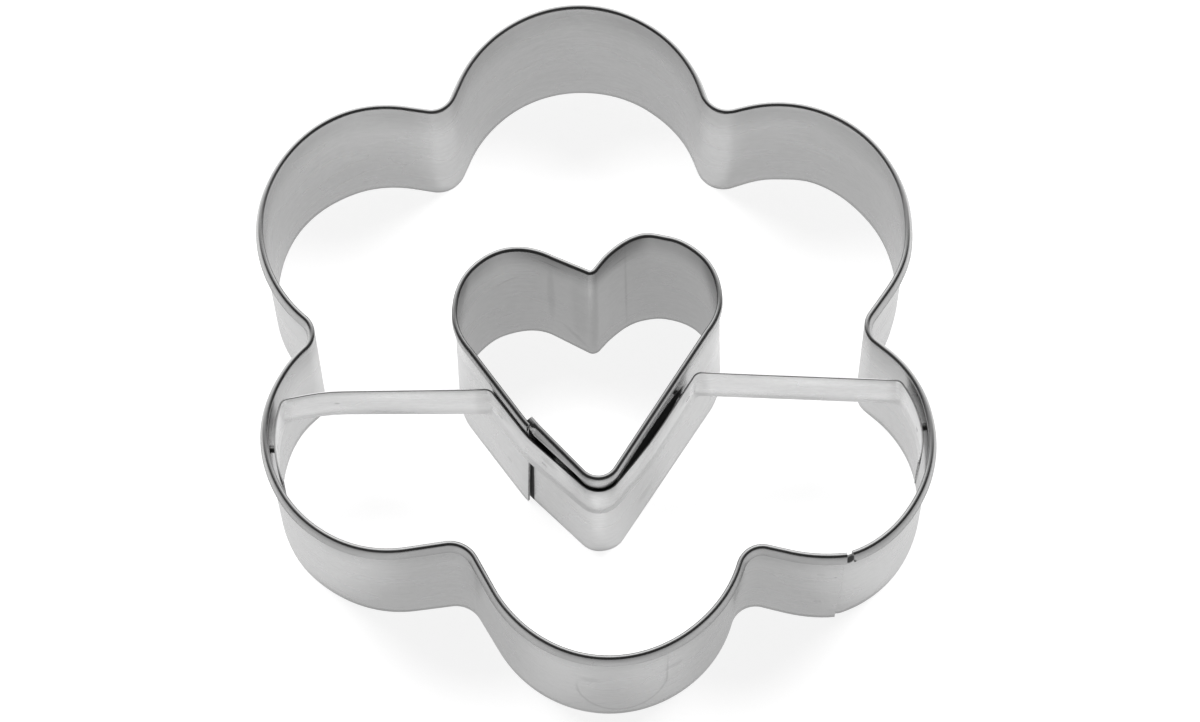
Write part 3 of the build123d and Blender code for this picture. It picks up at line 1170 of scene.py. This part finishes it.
def strap() -> BridgeStrap:
    """The strap with its sizes.

    Returns:
        The strap, not yet built.
    """
    places = (
        (-19.7965, -10.6233, -11.42), (-29.8352, -7.4774, -0.9), (-24.4729, -25.9, -20.0),
        (-10.66, -6.76, -0.9), (-0.606, -5.388, 8.0), (0.3554, -14.03, 2.34),
        (-27.2551, 12.2239, 40.36), (10.5413, -5.2547, -0.9), (29.4469, -6.2524, -0.9),
        (21.1021, -11.8387, -10.942), (25.2038, -11.2622, -6.8))
    bows = (
        (0.0, 0.00, 0.00), (24.0, 0.00, 0.00), (29.0, 0.00, 0.17), (36.0, 0.00, 0.17), (43.6, 0.00, 0.05),
        (49.0, 0.00, 0.15), (57.0, 0.00, 0.15), (61.0, 0.00, 0.00), (88.0, 0.00, 0.00))
    return BridgeStrap("heart_strap", "strap_sheet", [Arc(*place) for place in places], start=112.6,
                       end=-111.5, bottom=STRAP_BOTTOM, top=STRAP_TOP, bows=[Bow(*bow) for bow in bows])


def welds(sheets: list[bpy.types.Object]) -> list[SpotWeld]:
    """The spot welds with their places.

    Args:
        sheets: The finished strips that they join; the list is filled before the welds are built.

    Returns:
        The welds.
    """
    places = (
        ("flower_seam_weld_upper", (22.0, -23.3, FLOWER_HEIGHT * UPPER_WELD_SHARE), -91.5),
        ("flower_seam_weld_lower", (22.0, -23.22, FLOWER_HEIGHT * LOWER_WELD_SHARE), -91.5),
        ("heart_seam_weld", (-8.237, -8.372, HEART_HEIGHT * LOWER_WELD_SHARE), 216.0),
        ("strap_weld_left", (-9.08, -7.34, STRAP_MIDDLE), 213.0),
        ("strap_weld_seam", (-4.74, -12.25, STRAP_MIDDLE), 227.0),
        ("strap_weld_right", (8.866, -5.682, STRAP_MIDDLE), -34.0),
        ("left_tab_weld", (-31.392, -10.623, STRAP_MIDDLE), 180.0),
        ("right_tab_weld", (31.889, -9.149, STRAP_MIDDLE), 14.0))
    return [SpotWeld(name, place, facing, sheets) for name, place, facing in places]


def finishes() -> dict[str, SheetFinish]:
    """The finishes, with their marks of use and their patches of painted shade, shadow and highlight.

    Returns:
        The finish of each slot, by the slot's name.
    """
    flower_marks = (
        Mark(201.7, 10.0, 4.5, 8.2, 0.78, soft=0.05, hollow=1.0), Mark(206.2, 12.5, 0.1, 5.0, 0.84, soft=0.6),
        Mark(198.5, 13.0, 0.9, 0.7, 0.88), Mark(206.9, 12.8, 1.0, 0.6, 0.86),
        Mark(182.6, 12.0, 1.5, 5.5, 0.93), Mark(216.6, 12.0, 1.5, 5.5, 0.93),
        # Mark(4.85, ...) is painted black shadow in the notch between the hem's ends at the seam.
        Mark(4.85, 20.2, 0.4, 1.3, 0.15, soft=0.3, side=1), Mark(3.75, 0.1, 0.2, 0.6, 0.40),
        Mark(226.9, 14.6, 0.6, 0.25, 0.70, soft=0.3, hollow=1.0), Mark(227.5, 14.5, 0.12, 0.12, 0.60))
    heart_marks = (
        # Mark(5.52, ...) is painted black shadow along the gap at the lap's end; the marks at height 23.5
        # darken the hem.
        Mark(5.52, 4.0, 0.34, 12.0, 0.12, soft=0.2), Mark(81.0, 23.5, 8.0, 1.3, 0.66, soft=0.2, side=1),
        Mark(24.0, 23.5, 8.0, 1.3, 0.85, soft=0.3, side=1),
        # Mark(21.5, ...) and Mark(6.8, ...) are painted black shadow in the slots between the strap and the
        # heart's wall.
        Mark(21.5, 18.8, 6.8, 2.1, 0.08, soft=0.1, side=1),
        Mark(6.8, 19.3, 1.9, 1.7, 0.10, soft=0.2, side=1), Mark(8.8, 23.5, 5.0, 1.6, 0.66, soft=0.3, side=1),
        Mark(20.9, 4.5, 1.3, 1.0, 0.88), Mark(58.9, 13.0, 0.4, 7.0, 0.88),
        Mark(63.5, 16.1, 1.2, 0.12, 0.80, turn=-30.0, soft=0.8), Mark(58.8, 22.6, 1.0, 0.15, 0.70, soft=0.8),
        Mark(50.6, 20.9, 1.2, 0.16, 0.75, soft=0.8), Mark(49.8, 12.0, 0.12, 10.0, 0.86, soft=0.8),
        Mark(55.7, 14.0, 0.9, 10.0, 0.91), Mark(54.1, 14.0, 0.5, 10.0, 0.90),
        Mark(56.3, 3.7, 2.0, 0.4, 0.88, turn=56.0))
    strap_marks = (
        # The strap is darker over the heart and darkest at its tip. On the inner face, Mark(43.5, 17.2, ...)
        # is painted shade where the slot shows it; Mark(43.6, 17.4, ...) is a painted highlight down the tip.
        Mark(43.5, 17.0, 15.0, 40.0, 0.87, soft=0.06), Mark(43.6, 17.0, 3.2, 40.0, 0.84, soft=0.4),
        Mark(43.5, 17.2, 14.0, 5.0, 0.35, soft=0.1, side=-1), Mark(43.6, 17.4, 0.45, 3.0, 1.06),
        Mark(8.1, 17.2, 0.9, 4.0, 0.86), Mark(79.5, 17.2, 0.9, 4.0, 0.86), Mark(59.8, 17.0, 0.9, 4.0, 0.85),
        Mark(28.2, 17.2, 0.9, 4.0, 0.85), Mark(37.7, 19.0, 1.0, 0.8, 0.84), Mark(30.9, 18.3, 0.9, 0.8, 0.86),
        Mark(57.4, 18.5, 0.9, 0.9, 0.87), Mark(13.7, 17.3, 0.25, 0.25, 0.75))
    return {
        # The shade under each strip's top edge is painted shade; inside under 1 is painted shade on the inner
        # face and lip over 1 a painted highlight on the hem's lip.
        "flower_sheet": SheetFinish(
            "bright_flower_sheet", 0.640, hem=0.67, lip=1.12, painted_shade_under_fold=0.73, fold_shade=8.0,
            rim=FLOWER_HEIGHT, hem_foot=FLOWER_HEIGHT - FLOWER_HEM, hem_face=HEM_FACE, marks=flower_marks),
        "heart_sheet": SheetFinish(
            "bright_heart_sheet", 0.690, inside=0.80, hem=0.74, lip=1.08, painted_shade_under_fold=0.62, fold_shade=6.0,
            rim=HEART_HEIGHT, hem_foot=HEART_HEIGHT - HEART_HEM, hem_face=HEM_FACE, marks=heart_marks),
        "strap_sheet": SheetFinish(
            "bright_strap_sheet", 0.900, painted_shade_under_fold=0.90, fold_shade=2.0, rim=STRAP_TOP, marks=strap_marks),
        "weld_mark": SheetFinish("weld_nugget", 0.600, roughness=0.28)}


def main() -> None:
    """Build the pieces in order and report each one."""
    logging.basicConfig(level=logging.INFO, format="%(message)s")
    edge = ShearedEdge().make()
    grain, mark = rolled_grain_group(), mark_group()
    dressed = {slot: SheetMaterial(finish, grain, mark).make() for slot, finish in finishes().items()}
    strips = ((flower(), "flower_band"), (heart(), "heart_band"), (strap(), "bridge_strap"))
    sheets: list[bpy.types.Object] = []
    for assembly, node in (*strips, *((weld, weld.name) for weld in welds(sheets))):
        piece = assembly.build()
        piece.data.materials.append(dressed[assembly.slot])
        if not isinstance(assembly, SpotWeld):
            bare_cut_edges(piece, assembly.whole_route(), edge)
            sheets.append(piece)
        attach(piece, "root")
        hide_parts(node)
        log.info("%s: %d faces", piece.name, len(piece.data.polygons))
    Studio().build()


if __name__ == "__main__":
    main()
